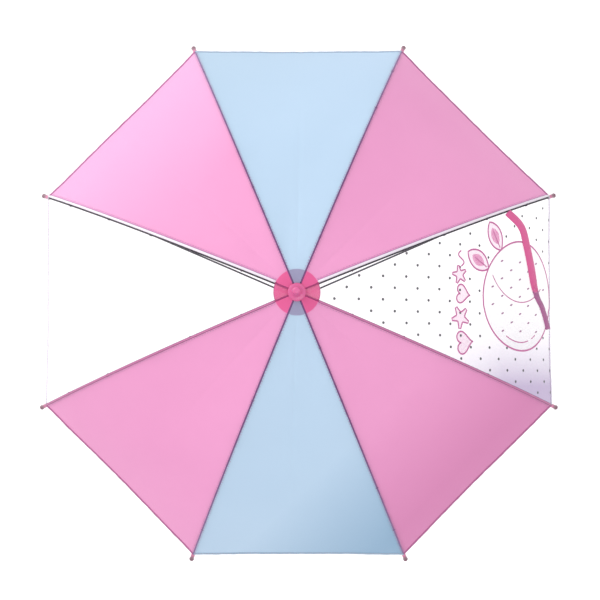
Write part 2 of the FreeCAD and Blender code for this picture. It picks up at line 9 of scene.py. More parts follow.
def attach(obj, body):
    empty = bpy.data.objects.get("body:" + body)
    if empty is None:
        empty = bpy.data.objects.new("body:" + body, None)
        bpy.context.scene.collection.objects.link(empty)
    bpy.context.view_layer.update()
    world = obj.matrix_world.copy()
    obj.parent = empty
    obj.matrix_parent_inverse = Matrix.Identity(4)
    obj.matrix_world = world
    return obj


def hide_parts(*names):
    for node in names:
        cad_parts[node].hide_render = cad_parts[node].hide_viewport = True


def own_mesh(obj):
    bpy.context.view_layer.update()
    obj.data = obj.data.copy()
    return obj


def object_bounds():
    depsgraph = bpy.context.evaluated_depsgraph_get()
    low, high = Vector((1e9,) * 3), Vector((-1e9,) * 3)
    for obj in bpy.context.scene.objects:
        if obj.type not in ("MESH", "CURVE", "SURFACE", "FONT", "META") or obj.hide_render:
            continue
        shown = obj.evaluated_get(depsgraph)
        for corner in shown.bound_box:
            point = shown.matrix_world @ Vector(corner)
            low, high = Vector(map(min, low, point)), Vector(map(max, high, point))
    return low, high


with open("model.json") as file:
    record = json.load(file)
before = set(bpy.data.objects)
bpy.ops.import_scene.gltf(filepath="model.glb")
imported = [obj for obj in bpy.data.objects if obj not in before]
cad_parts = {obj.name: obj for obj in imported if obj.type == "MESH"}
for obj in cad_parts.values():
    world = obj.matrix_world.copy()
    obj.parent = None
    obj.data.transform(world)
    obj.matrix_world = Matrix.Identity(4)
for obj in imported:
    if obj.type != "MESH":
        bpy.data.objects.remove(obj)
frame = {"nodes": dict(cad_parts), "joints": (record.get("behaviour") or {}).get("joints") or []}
cad_low, cad_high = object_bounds()

# -------- sizes, in metres
MM = 0.001
RIB_COUNT = 8
HEM_ARC = 455 * MM            # along a rib, from its pivot to the hem
RIB_BEND = math.radians(46)
RIB_SLOPE_TOP = math.radians(5)
HALF = math.pi / RIB_COUNT    # half of the angle between two ribs
PIVOT = next(j for j in frame["joints"] if j["name"] == "rib_1_hinge")["pos_m"]
PIVOT_RADIUS = math.hypot(PIVOT[0], PIVOT[1])
NOTCH_Z = PIVOT[2]
RHO = HEM_ARC / RIB_BEND
ARC_X = PIVOT_RADIUS - RHO * math.sin(RIB_SLOPE_TOP)
ARC_Z = NOTCH_Z - RHO * math.cos(RIB_SLOPE_TOP)
HEM_SLOPE = RIB_SLOPE_TOP + RIB_BEND
CLOTH_LIFT = 3.8 * MM         # middle of the canopy above the rib's middle line
HOLE_RADIUS = 6 * MM
ROSETTE_LIFT = 2.3 * MM
ROSETTE_RADIUS = 32 * MM
ROSETTE_HOLE = 5 * MM
CROSS_SAG = 2.6 * MM          # how far the cloth sinks between two ribs
HEM_SCALLOP = 3.0 * MM        # how far the hem curves in between two tips
ROWS, COLUMNS = 150, 26       # of a half panel's grid, along and across
HEM_WIDTH = 4.2 * MM
SINGLE_HALF = 1.2 * MM        # half widths of a seam's narrow tape and of its double tape
DOUBLE_HALF = 1.8 * MM
SEAM_FROM = 0.3 * MM          # where a seam starts along its rib, beside the ferrule's flange
HUB_RADIUS = 12.6 * MM        # the canopy inside this is clamped under the ferrule
BARE_RIBS = (1, 4)            # ribs left to be seen through the film beside them
BARE_GAP = 3.9 * MM           # from such a rib's middle to its cloth
PAINTED_LIGHT_FROM, PAINTED_LIGHT_SPREAD = 0.2, 0.14   # where the painted sheen and painted shade on the cloth start, and over how far
REFLECTION_FROM, REFLECTION_RATES = (0.01, 0.11), (8.5, 5.5)   # the same for the painted reflection on the printed film, lilac towards one corner
# Small shapes on the smooth cloth: how deep they are, how far apart, and how far they reach.
SEAM_PUCKER, SEAM_PUCKER_PITCH, SEAM_PUCKER_REACH = 0.3 * MM, 3.1 * MM, 9 * MM
HEM_PUCKER, HEM_PUCKER_PITCH, HEM_PUCKER_REACH = 0.22 * MM, 3.6 * MM, 9 * MM
PULL, PULL_PITCH, PULL_UP, PULL_ASIDE, PULL_CLEAR = 0.35 * MM, 13 * MM, 90 * MM, 70 * MM, 10 * MM
SLACK, SLACK_PITCH = 0.8 * MM, 46 * MM
CREASE, CREASE_REACH = 0.55 * MM, 5 * MM
CALM_REACH = 40 * MM          # past the rosette, over which they grow to their full depth
# Half a panel is cut in lengths. Each
# has where it ends, as a share of the way to the hem, and how much of its width it keeps.
FOLDS = ((0.12, 0.8), (0.3, 0.54), (0.5, 0.38), (1.0, 0.27))
PANEL_LOOKS = ["pink", "blue", "pink", "clear", "pink", "blue", "pink", "printed"]
FILM = ("clear", "printed")


# -------- the canopy's surface
def rib_azimuth(rib):
    return HALF + (rib - 1) * 2 * HALF


def arc_slope(radius, lift):
    """The rib's slope where an arc lifted above it is that far from the shaft."""
    return math.asin((radius - ARC_X) / (RHO + lift))


TOP_SLOPE = arc_slope(HOLE_RADIUS, CLOTH_LIFT)
HEM_RADIUS = ARC_X + (RHO + CLOTH_LIFT) * math.sin(HEM_SLOPE)
APOTHEM = HEM_RADIUS * math.cos(HALF)
HEM_HALF = HEM_RADIUS * math.sin(HALF)   # half of a panel's width at the hem
U_HUB = (arc_slope(HUB_RADIUS, CLOTH_LIFT) - TOP_SLOPE) / (HEM_SLOPE - TOP_SLOPE)


def cloth_slope(u):
    """The canopy's slope over a rib; u is 0 at the hole and 1 at the hem."""
    return TOP_SLOPE + (HEM_SLOPE - TOP_SLOPE) * u


def half_width(u):
    """Half of a panel's width, from its middle line to a rib."""
    return (ARC_X + (RHO + CLOTH_LIFT) * np.sin(cloth_slope(u))) * math.sin(HALF)


def wave(x, seed):
    """A smooth repeatable wobble between about -1 and 1."""
    return (np.sin(x + seed) + np.sin(1.73 * x + 2.1 * seed) + np.sin(0.61 * x - 1.3 * seed)) / 2.4


def gore_points(u, t, panel):
    """Points of a panel centred on +X. u is 0 at the hole and 1 at the hem; t is -1 at the
    first rib and 1 at the next. Ripples from the seams, the hem and old folds lie on it, each
    with another phase in every panel."""
    u, t = np.broadcast_arrays(np.asarray(u, float), np.asarray(t, float))
    middle = 1 - t * t
    scallop = HEM_SCALLOP * middle * np.clip((u - 0.8) / 0.2, 0, 1) ** 2
    slope = cloth_slope(u - scallop / HEM_ARC)
    radius = ARC_X + (RHO + CLOTH_LIFT) * np.sin(slope)
    height = ARC_Z + (RHO + CLOTH_LIFT) * np.cos(slope)
    x = radius * math.cos(HALF)
    y = t * radius * math.sin(HALF)
    steep = np.arctan(np.tan(slope) / math.cos(HALF))
    along = u * HEM_ARC
    from_hem = (1 - u) * HEM_ARC
    aside = (1 - np.abs(t)) * radius * math.sin(HALF)
    depth = -CROSS_SAG * middle * np.sin(math.pi * np.clip(u, 0, 1) ** 0.8)
    seam = SEAM_PUCKER * np.exp(-aside / SEAM_PUCKER_REACH)
    seam = seam * wave(along / SEAM_PUCKER_PITCH, 1.9 * panel + np.sign(t))
    hem = HEM_PUCKER * np.exp(-from_hem / HEM_PUCKER_REACH) * wave(y / HEM_PUCKER_PITCH, 2.7 * panel)
    pull = PULL * np.exp(-from_hem / PULL_UP) * np.sin(aside / PULL_PITCH + 0.7 * panel)
    pull = pull * np.exp(-aside / PULL_ASIDE) * np.clip(aside / PULL_CLEAR, 0, 1)
    slack = SLACK * wave(along / SLACK_PITCH + 3.0 * t, 1.3 * panel) * middle
    crease = -CREASE * np.exp(-np.abs(t - 0.34 * math.sin(3.1 * panel)) * radius / CREASE_REACH)
    crease = crease * np.clip(u / 0.15, 0, 1) * np.clip((1 - np.abs(t)) / 0.2, 0, 1)
    inner = np.clip((radius - ROSETTE_RADIUS) / CALM_REACH, 0, 1)
    depth = inner * (depth + seam + hem + pull + slack + crease)
    return np.stack([x + depth * np.sin(steep), y, height + depth * np.cos(steep)], axis=-1)


def cloth_reach(panel, t, u):
    """Where a grid line of a panel lies: its cloth stops short beside a bare rib."""
    if PANEL_LOOKS[panel - 1] in FILM:
        return t + 0 * u
    width = half_width(u)
    short = np.minimum(BARE_GAP * np.clip((width - 9 * MM) / (6 * MM), 0, 1) / width, 0.5)
    bare = ((t < 0) & (panel in BARE_RIBS)) | ((t > 0) & (panel % RIB_COUNT + 1 in BARE_RIBS))
    return np.where(bare, t * (1 - short), t + 0 * u)


def turn(points, azimuth):
    c, s = math.cos(azimuth), math.sin(azimuth)
    x, y, z = points[..., 0], points[..., 1], points[..., 2]
    return np.stack([c * x - s * y, s * x + c * y, z], axis=-1)


def panel_azimuth(panel):
    return rib_azimuth(panel) + HALF


def outward(across, down):
    """Unit normals that point up, from a surface's two directions."""
    normal = np.cross(across, down)
    normal /= np.linalg.norm(normal, axis=-1, keepdims=True)
    return normal * np.sign(normal[..., 2:3])


def spot_on(panel, u, t, lift):
    """Points on a panel, lifted off its ripples along its normal."""
    step = 1e-3
    here = gore_points(u, t, panel)
    down = gore_points(u + step, t, panel) - gore_points(u - step, t, panel)
    across = gore_points(u, t + step, panel) - gore_points(u, t - step, panel)
    return turn(here + outward(across, down) * lift, panel_azimuth(panel))


def at_plan(x, y):
    """u and t of the point of a panel's plan, x out from the shaft and y across."""
    radius = np.asarray(x, float) / math.cos(HALF)
    slope = np.arcsin(np.clip((radius - ARC_X) / (RHO + CLOTH_LIFT), -1, 1))
    u = (slope - TOP_SLOPE) / (HEM_SLOPE - TOP_SLOPE)
    return u, np.asarray(y, float) / (radius * math.sin(HALF))


# -------- mesh helpers
def mesh_object(name, points, faces, material):
    mesh = bpy.data.meshes.new(name)
    mesh.from_pydata([tuple(p) for p in np.asarray(points, float)], [], faces)
    mesh.validate()
    mesh.polygons.foreach_set("use_smooth", [True] * len(mesh.polygons))
    mesh.materials.append(material)
    thing = bpy.data.objects.new(name, mesh)
    bpy.context.scene.collection.objects.link(thing)
    return thing


def grid_faces(rows, columns, start=0, around=False):
    """Quads of a grid of points, row after row. Around joins the last column to the first."""
    last = columns if around else columns - 1
    return [
        (start + r * columns + c, start + r * columns + (c + 1) % columns,
         start + (r + 1) * columns + (c + 1) % columns, start + (r + 1) * columns + c)
        for r in range(rows - 1) for c in range(last)
    ]


def band(name, loops, material):
    """A closed band with an end cap at each end, from lines of points that run along it."""
    steps, k = len(loops[0]), len(loops)
    faces = grid_faces(steps, k, around=True)
    faces += [tuple(range(k - 1, -1, -1)), tuple(range((steps - 1) * k, steps * k))]
    return mesh_object(name, np.stack(loops, axis=1).reshape(-1, 3), faces, material)


def ring_points(start, stop, rows, lift, angles):
    """Rows of points round the shaft, between two radii of an arc lifted above the ribs."""
    slopes = np.linspace(arc_slope(start, lift), arc_slope(stop, lift), rows)
    radius = ARC_X + (RHO + lift) * np.sin(slopes)
    height = ARC_Z + (RHO + lift) * np.cos(slopes)
    flat = [np.outer(radius, np.cos(angles)), np.outer(radius, np.sin(angles))]
    return np.stack(flat + [np.outer(height, np.ones(len(angles)))], -1).reshape(-1, 3)


def set_uv(thing, values):
    """One (u, v) in metres for each point, which the weave follows."""
    layer = thing.data.uv_layers.new(name="UVMap")
    corner = np.zeros(len(thing.data.loops), int)
    thing.data.loops.foreach_get("vertex_index", corner)
    layer.data.foreach_set("uv", np.asarray(values, float)[corner].ravel())


def joined_object(name, parts, material):
    """One object from several lists of points and faces."""
    points, faces, start = [], [], 0
    for p, f in parts:
        points.append(np.asarray(p, float))
        faces += [tuple(i + start for i in face) for face in f]
        start += len(p)
    points = np.concatenate(points)
    thing = mesh_object(name, points, faces, material)
    set_uv(thing, points[:, :2])
    return thing


def fold_with_rib(thing, rib):
    """The piece rides on a rib, with a mesh of its own."""
    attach(thing, f"rib_{rib}")
    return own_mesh(thing)


# -------- materials
def srgb(r, g, b):
    def linear(c):
        c /= 255
        return c / 12.92 if c <= 0.04045 else ((c + 0.055) / 1.055) ** 2.4
    return (linear(r), linear(g), linear(b), 1.0)


class Nodes:
    """A short way to write a material's nodes."""

    def __init__(self, name):
        self.material = bpy.data.materials.new(name)
        self.material.use_nodes = True
        self.tree = self.material.node_tree
        self.shader = self.tree.nodes["Principled BSDF"]
        self.output = self.tree.nodes["Material Output"]

    def add(self, kind, values=None, links=None, **settings):
        node = self.tree.nodes.new(kind)
        for key, value in settings.items():
            setattr(node, key, value)
        for key, value in (values or {}).items():
            node.inputs[key].default_value = value
        for key, socket in (links or {}).items():
            self.tree.links.new(socket, node.inputs[key])
        return node

    def set(self, **values):
        for key, value in values.items():
            self.shader.inputs[key.replace("_", " ")].default_value = value

    def link(self, key, socket):
        self.tree.links.new(socket, self.shader.inputs[key])

    def math(self, operation, a, b=None, c=None):
        node = self.add("ShaderNodeMath", operation=operation)
        for index, value in enumerate((a, b, c)):
            if value is None:
                continue
            if isinstance(value, (int, float)):
                node.inputs[index].default_value = value
            else:
                self.tree.links.new(value, node.inputs[index])
        return node.outputs[0]

    def clamp(self, value):
        return self.math("MINIMUM", self.math("MAXIMUM", value, 0.0), 1.0)

    def mix(self, factor, a, b, share=1.0):
        """From a towards b, by that share of the factor."""
        if share != 1.0:
            factor = self.math("MULTIPLY", factor, share)
        node = self.add("ShaderNodeMix", data_type="RGBA")
        for key, value in (("Factor", factor), ("A", a), ("B", b)):
            sockets = [s for s in node.inputs if s.name == key and s.enabled]
            if isinstance(value, (int, float, tuple)):
                sockets[0].default_value = value
            else:
                self.tree.links.new(value, sockets[0])
        return next(s for s in node.outputs if s.enabled)

    def noise(self, scale, detail=2.0, vector=None):
        links = {"Vector": vector} if vector is not None else {}
        return self.add("ShaderNodeTexNoise", {"Scale": scale, "Detail": detail}, links).outputs["Fac"]

    def position(self):
        return self.add("ShaderNodeTexCoord").outputs["Object"]

    def bump(self, height, distance, strength=0.5):
        node = self.add("ShaderNodeBump", {"Strength": strength, "Distance": distance},
                        {"Height": height})
        self.link("Normal", node.outputs["Normal"])


def plan_parts(m):
    """A point's x and y, from the umbrella's axis."""
    split = m.add("ShaderNodeSeparateXYZ", links={"Vector": m.position()})
    return split.outputs[0], split.outputs[1]


def shaft_distance(m):
    """How far a point is from the umbrella's axis."""
    x, y = plan_parts(m)
    return m.math("SQRT", m.math("ADD", m.math("MULTIPLY", x, x), m.math("MULTIPLY", y, y)))


def flat_parts(m):
    """The piece's own flat coordinates, in metres."""
    uv = m.add("ShaderNodeTexCoord").outputs["UV"]
    split = m.add("ShaderNodeSeparateXYZ", links={"Vector": uv})
    return split.outputs[0], split.outputs[1]


def threads(m, place, pitch):
    """Threads side by side at that pitch, as a wave between -1 and 1."""
    return m.math("SINE", m.math("MULTIPLY", place, 2 * math.pi / pitch))


def weave_height(m, pitch):
    """Two crossed sets of threads."""
    across, along = flat_parts(m)
    return m.math("MULTIPLY", threads(m, across, pitch), threads(m, along, pitch))


def cloth(name, colour, shadow, through, pale, deep):
    """Thin shiny woven cloth, darker where the rosette under it shows through. Its colour carries painted
    light:
    towards the hem on the lamp's side (-x, +y) it turns to a lit tone, a painted sheen, and towards the
    far side to a deeper tone, a painted shade."""
    m = Nodes(name)
    x, y = plan_parts(m)
    lean = m.math("MULTIPLY", m.math("SUBTRACT", y, x), math.sqrt(0.5))
    weave = weave_height(m, 0.9 * MM)
    cloudy = m.noise(9.0, 3.0, m.position())
    base = m.mix(cloudy, colour, shadow, 0.35)
    # pale is a painted sheen towards the lamp's side of the hem, deep a painted shade towards the far side
    for sign, tone in ((1.0, pale), (-1.0, deep)):
        far = m.math("MULTIPLY_ADD", lean, sign / PAINTED_LIGHT_SPREAD, -PAINTED_LIGHT_FROM / PAINTED_LIGHT_SPREAD)
        base = m.mix(m.clamp(far), base, tone)
    base = m.mix(m.math("MULTIPLY_ADD", weave, 0.06, 0.06), base, shadow)
    edge = m.math("MULTIPLY", m.math("SUBTRACT", ROSETTE_RADIUS, shaft_distance(m)), 1 / (0.8 * MM))
    base = m.mix(m.clamp(edge), base, through, 0.86)
    m.link("Base Color", base)
    m.set(Roughness=0.52, Sheen_Weight=0.25, Sheen_Roughness=0.4, Specular_IOR_Level=0.35)
    m.bump(m.math("ADD", weave, m.math("MULTIPLY", cloudy, 0.6)), 0.12 * MM, 0.45)
    light = m.add("ShaderNodeBsdfTranslucent", links={"Color": base})
    both = m.add("ShaderNodeMixShader", {"Fac": 0.22})
    m.tree.links.new(m.shader.outputs[0], both.inputs[1])
    m.tree.links.new(light.outputs[0], both.inputs[2])
    m.tree.links.new(both.outputs[0], m.output.inputs["Surface"])
    return m.material


def film(name, colour, opacity, painted_reflection=False):
    """Clear flexible film, a little milky. With a painted reflection it turns lilac and less clear towards
    one corner (+x, -y).
    """
    m = Nodes(name)
    cloudy = m.noise(5.0, 2.0, m.position())
    base = m.mix(cloudy, colour, srgb(240, 236, 248))
    alpha = m.math("MULTIPLY_ADD", cloudy, 0.04, opacity)
    if painted_reflection:
        x, y = plan_parts(m)
        places = (m.math("MULTIPLY", y, -1.0), x)
        rises = [m.clamp(m.math("MULTIPLY", m.math("SUBTRACT", place, start), rate))
                 for place, start, rate in zip(places, REFLECTION_FROM, REFLECTION_RATES)]
        both = m.math("MULTIPLY", rises[0], rises[1])
        # painted reflection: lilac and more opaque towards the corner at +x, -y
        base = m.mix(both, base, srgb(186, 166, 206))
        alpha = m.math("MULTIPLY_ADD", both, 0.8, alpha)
    m.link("Base Color", base)
    m.link("Alpha", alpha)
    m.set(Roughness=0.16, Specular_IOR_Level=0.25, IOR=1.45)
    m.bump(m.noise(60.0, 2.0, m.position()), 0.2 * MM, 0.25)
    return m.material


def plastic(name, colour, dark, roughness=0.28, grain=0.04 * MM, alpha=1.0):
    """Moulded plastic with a faint orange-peel surface and uneven pigment."""
    m = Nodes(name)
    position = m.position()
    pigment = m.noise(34.0, 3.0, position)
    m.link("Base Color", m.mix(pigment, colour, dark, 0.5))
    rough = m.math("MULTIPLY_ADD", m.noise(220.0, 2.0, position), 0.12, roughness - 0.05)
    m.link("Roughness", rough)
    m.set(Specular_IOR_Level=0.5, Coat_Weight=0.25, Coat_Roughness=0.15, Alpha=alpha,
          Subsurface_Weight=0.08, Subsurface_Scale=0.002)
    m.bump(m.noise(900.0, 2.0, position), grain, 0.35)
    return m.material


def metal(name, colour, dark, roughness):
    """Plated metal with fine drawing lines along Z and faint tarnish."""
    m = Nodes(name)
    position = m.position()
    drawn = m.add("ShaderNodeMapping", {"Scale": (1.0, 1.0, 0.02)}, {"Vector": position}).outputs[0]
    lines = m.noise(2600.0, 2.0, drawn)
    tarnish = m.noise(30.0, 4.0, position)
    m.link("Base Color", m.mix(tarnish, colour, dark, 0.6))
    m.link("Roughness", m.math("MULTIPLY_ADD", lines, 0.14, roughness))
    m.set(Metallic=1.0)
    m.bump(lines, 0.01 * MM, 0.25)
    return m.material


def painted(name, colour, dark):
    """Steel under a dark even plating, with worn lighter stretches."""
    m = Nodes(name)
    position = m.position()
    m.link("Base Color", m.mix(m.noise(22.0, 4.0, position), colour, dark))
    m.link("Roughness", m.math("MULTIPLY_ADD", m.noise(900.0, 2.0, position), 0.16, 0.34))
    m.set(Metallic=0.1, Specular_IOR_Level=0.2)
    m.bump(m.noise(1500.0, 2.0, position), 0.02 * MM, 0.3)
    return m.material


def webbing(name, colour, dark):
    """Ribbed woven tape."""
    m = Nodes(name)
    across, along = flat_parts(m)
    fine = m.math("MULTIPLY", threads(m, across, 0.8 * MM), 0.5)
    weave = m.math("ADD", threads(m, along, 1.1 * MM), fine)
    m.link("Base Color", m.mix(m.math("MULTIPLY_ADD", weave, 0.14, 0.3), colour, dark))
    m.set(Roughness=0.6, Sheen_Weight=0.3, Sheen_Roughness=0.4)
    m.bump(weave, 0.15 * MM, 0.6)
    return m.material


def seam_tape_painted_shade():
    """Narrow tape of a real seam. Its dark colour is painted shade of the seam and of the rib under it,
    and it fades towards the hem.
    """
    m = Nodes("seam_tape_painted_shade")
    past = m.math("SUBTRACT", shaft_distance(m), 0.5 * HEM_RADIUS)
    fade = m.clamp(m.math("MULTIPLY", past, 1.6 / HEM_RADIUS))
    # painted shade along the seam, dark in the middle of the canopy and lighter towards the hem
    base = m.mix(fade, srgb(116, 66, 124), srgb(158, 124, 176))
    m.link("Base Color", m.mix(m.noise(300.0, 2.0, m.position()), base, srgb(88, 50, 98), 0.5))
    m.set(Roughness=0.6, Sheen_Weight=0.2)
    m.bump(weave_height(m, 0.8 * MM), 0.12 * MM, 0.5)
    return m.material


def double_tape():
    """Mauve tape, lighter between its two darker sewn edges."""
    m = Nodes("mauve_tape")
    aside = m.math("ABSOLUTE", m.math("MULTIPLY_ADD", flat_parts(m)[0], 1 / DOUBLE_HALF, -1.0))
    edge = m.clamp(m.math("MULTIPLY_ADD", aside, 3.0, -1.4))
    m.link("Base Color", m.mix(edge, srgb(204, 120, 168), srgb(108, 52, 94)))
    m.set(Roughness=0.6, Sheen_Weight=0.2)
    m.bump(weave_height(m, 0.8 * MM), 0.12 * MM, 0.5)
    return m.material


def tip_plastic():
    """Moulded plastic of the rib tips, pink at the hem and darker and greyer towards the ball."""
    m = Nodes("tip_plastic")
    past = m.math("SUBTRACT", shaft_distance(m), HEM_RADIUS + 1.5 * MM)
    past = m.clamp(m.math("MULTIPLY", past, 1 / (5 * MM)))
    base = m.mix(past, srgb(226, 120, 168), srgb(132, 88, 104))
    m.link("Base Color", m.mix(m.noise(90.0, 3.0, m.position()), base, srgb(112, 72, 92), 0.4))
    m.set(Roughness=0.32, Coat_Weight=0.2)
    m.bump(m.noise(900.0, 2.0, m.position()), 0.03 * MM, 0.35)
    return m.material


def ink(name, colour, alpha=1.0):
    """Printed ink, slightly uneven."""
    m = Nodes(name)
    patch = m.noise(400.0, 2.0, m.position())
    deeper = tuple(c * 0.82 for c in colour[:3]) + (1.0,)
    m.link("Base Color", m.mix(patch, colour, deeper, 0.5))
    m.set(Roughness=0.45, Alpha=alpha)
    return m.material


def rosette_film():
    """Hot pink translucent film with a darker rim."""
    m = Nodes("rosette_film")
    rim = m.math("GREATER_THAN", shaft_distance(m), ROSETTE_RADIUS - 1.1 * MM)
    cloudy = m.noise(60.0, 3.0, m.position())
    base = m.mix(cloudy, srgb(226, 74, 142), srgb(196, 50, 116), 0.5)
    m.link("Base Color", m.mix(rim, base, srgb(150, 60, 120), 0.6))
    m.set(Roughness=0.3, Alpha=0.97)
    m.bump(cloudy, 0.2 * MM, 0.3)
    return m.material


LOOKS = {
    # The last two colours of each cloth are painted light: a painted sheen towards the lamp's side of the
    # hem and a painted shade towards the far side.
    "pink": cloth("cloth_pink", srgb(243, 165, 210), srgb(222, 138, 188), srgb(248, 94, 162),
                  srgb(240, 175, 219), srgb(216, 135, 182)),
    "blue": cloth("cloth_blue", srgb(192, 217, 239), srgb(175, 203, 228), srgb(166, 160, 197),
                  srgb(184, 210, 231), srgb(146, 180, 208)),
    "clear": film("film_clear", srgb(254, 253, 254), 0.025),
    "printed": film("film_printed", srgb(254, 252, 254), 0.025, painted_reflection=True),
}
# seam tape whose dark colour is painted shade
SEAM = seam_tape_painted_shade()
MAUVE = double_tape()
ROOT = webbing("seam_root", srgb(186, 58, 124), srgb(150, 40, 104))
TIP_PLASTIC = tip_plastic()
LILAC = webbing("lilac_thread", srgb(206, 138, 190), srgb(160, 98, 152))
SEAM_THREAD = webbing("seam_thread", srgb(206, 150, 196), srgb(150, 96, 150))
HEMS = {
    "pink": webbing("hem_pink", srgb(190, 98, 152), srgb(146, 66, 122)),
    "blue": webbing("hem_blue", srgb(168, 196, 216), srgb(136, 166, 190)),
    "clear": film("hem_clear", srgb(214, 214, 222), 0.34),
    "printed": film("hem_printed", srgb(210, 206, 222), 0.4),
}
LAP = film("film_lap", srgb(255, 240, 252), 0.82)
PLASTIC_PINK = plastic("plastic_pink", srgb(226, 104, 160), srgb(196, 72, 132))
HANDLE_PINK = plastic("handle_pink", srgb(240, 140, 186), srgb(222, 108, 160), roughness=0.2)
NYLON = plastic("nylon_white", srgb(232, 230, 232), srgb(206, 204, 210), roughness=0.42)
STEEL = metal("steel_plated", srgb(150, 150, 156), srgb(96, 96, 104), 0.3)
RIB_STEEL = painted("rib_steel", srgb(40, 26, 44), srgb(22, 14, 26))
STRETCHER_STEEL = painted("stretcher_steel", srgb(66, 76, 78), srgb(40, 48, 50))
CHROME = metal("shaft_steel", srgb(208, 208, 214), srgb(170, 170, 178), 0.14)
STRAP = webbing("strap_pink", srgb(236, 100, 162), srgb(206, 70, 134))
STRAP_TAIL_TAPE = webbing("strap_tail", srgb(186, 104, 158), srgb(146, 76, 126))
DOT_INK = ink("dot_ink", srgb(104, 104, 108))
LINE_INK = ink("line_ink", srgb(204, 112, 166))
FILL_INK = ink("fill_ink", srgb(240, 150, 200), 0.75)
PALE_INK = ink("pale_ink", srgb(250, 214, 236), 0.55)
SEED_INK = ink("seed_ink", srgb(176, 130, 164))
WHITE_INK = ink("white_ink", srgb(255, 253, 255), 0.5)
TIE_THREAD = webbing("tie_thread", srgb(92, 66, 96), srgb(60, 42, 66))
ROSETTE = rosette_film()


# -------- canopy panels
def whole_grid(panel):
    """A whole panel's grid of points and unit normals, in place."""
    u = np.linspace(U_HUB, 1, ROWS)[:, None]
    t = np.linspace(-1, 1, 2 * COLUMNS - 1)[None, :]
    t = cloth_reach(panel, t, u)
    points = turn(gore_points(u, t, panel), panel_azimuth(panel))
    down, across = np.gradient(points, axis=0), np.gradient(points, axis=1)
    return points, outward(across, down), u, t


def half_panel(panel, rib, columns, tag):
    """Half of a panel, from its rib to its middle line, which folds beside that rib: lengths
    that meet without a step, each with where it starts and ends on the way to the hem."""
    look = PANEL_LOOKS[panel - 1]
    points, normals, u, t = whole_grid(panel)
    made, start = [], 0
    for number, (share, keep) in enumerate(FOLDS):
        end = int(np.argmin(np.abs(u - share)))
        rows = slice(start, end + 1)
        spots, out = points[rows, columns], normals[rows, columns]
        count, across = spots.shape[:2]
        thing = mesh_object(f"canopy_{panel}_{tag}_{number}", spots.reshape(-1, 3),
                            [f[::-1] for f in grid_faces(count, across)], LOOKS[look])
        width = HEM_HALF * t[rows, columns] * (0.1 + 0.9 * u[rows])
        along = np.broadcast_to(u[rows] * HEM_ARC, (count, across))
        set_uv(thing, np.stack([width.ravel(), along.ravel()], 1))
        thing.data.normals_split_custom_set_from_vertices(out.reshape(-1, 3).tolist())
        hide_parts(f"canopy_panel_{panel}")
        made.append((fold_with_rib(thing, rib), float(u[start, 0]), float(u[end, 0])))
        start = end
    return made


def hem(panel, rib, side, tag):
    """The folded hem of half a panel, a thin flat band with rounded edges."""
    look = PANEL_LOOKS[panel - 1]
    t = cloth_reach(panel, np.linspace(0, side, 60), 1.0)
    inner = 1 - HEM_WIDTH / HEM_ARC
    thick = 0.35 * MM
    section = ((1.0, -thick), (1.0015, 0), (1.0, thick), ((1 + inner) / 2, 1.3 * thick),
               (inner, thick), (inner, -thick))
    loops = [spot_on(panel, np.full_like(t, u), t, lift) for u, lift in section]
    thing = band(f"hem_{panel}_{tag}", loops, HEMS[look])
    k = len(loops)
    set_uv(thing, np.stack([np.tile(np.linspace(0, HEM_WIDTH, k), len(t)), np.repeat(t * HEM_HALF, k)], 1))
    return fold_with_rib(thing, rib)


def stitch(start, end, up, width):
    """A short raised stitch, six-sided, from one point to another."""
    along = end - start
    side = np.cross(up, along)
    side /= np.linalg.norm(side)
    ring = [(0.5, 0.0), (0.3, 0.8), (-0.3, 0.8), (-0.5, 0.0)]
    stations = [(0.0, 0.45), (0.25, 1.0), (0.75, 1.0), (1.0, 0.45)]
    points = [start + along * s + side * (a * width * k) + up * (b * width * 0.6 * k)
              for s, k in stations for a, b in ring]
    faces = grid_faces(len(stations), len(ring), around=True)
    faces += [(3, 2, 1, 0), (12, 13, 14, 15)]
    return np.array(points), faces


def hem_stitches(panel, rib, side, tag):
    """A row of stitches along the hem of half a panel."""
    step, lift = 4.0 * MM / HEM_HALF, 0.38 * MM
    starts = np.arange(0.5 * step, 1 - step, step) * side
    u = np.full_like(starts, 1 - 0.72 * HEM_WIDTH / HEM_ARC)
    low = spot_on(panel, u, starts, lift)
    high = spot_on(panel, u, starts + 0.62 * step * side, lift)
    up = spot_on(panel, u, starts, lift + MM) - low
    up /= np.linalg.norm(up, axis=-1, keepdims=True)
    parts = [stitch(a, b, n, 0.5 * MM) for a, b, n in zip(low, high, up)]
    thing = joined_object(f"hem_stitches_{panel}_{tag}", parts, SEAM_THREAD)
    return fold_with_rib(thing, rib)


def rib_line(rib, arc_from, arc_to, count, lift, aside=0.0):
    """Points over a rib, its sideways direction and its outward directions."""
    slope = RIB_SLOPE_TOP + np.linspace(arc_from, arc_to, count) / RHO
    drop = abs(aside) * math.tan(HALF) * np.sin(slope)
    zero = np.zeros_like(slope)
    reach = RHO + lift - drop
    local = np.stack([ARC_X + reach * np.sin(slope), zero + aside, ARC_Z + reach * np.cos(slope)], 1)
    azimuth = rib_azimuth(rib)
    out = turn(np.stack([np.sin(slope), zero, np.cos(slope)], 1), azimuth)
    side = turn(np.stack([zero, zero + 1, zero], 1), azimuth)
    return turn(local, azimuth), side, out


def over_film(rib):
    """Whether film meets the rib from either side."""
    return PANEL_LOOKS[rib - 2] in FILM or PANEL_LOOKS[rib - 1] in FILM


def cloth_side(rib):
    """-1 or 1, the side of a rib where its cloth is, beside film on the other."""
    return 1 if PANEL_LOOKS[rib - 2] in FILM else -1


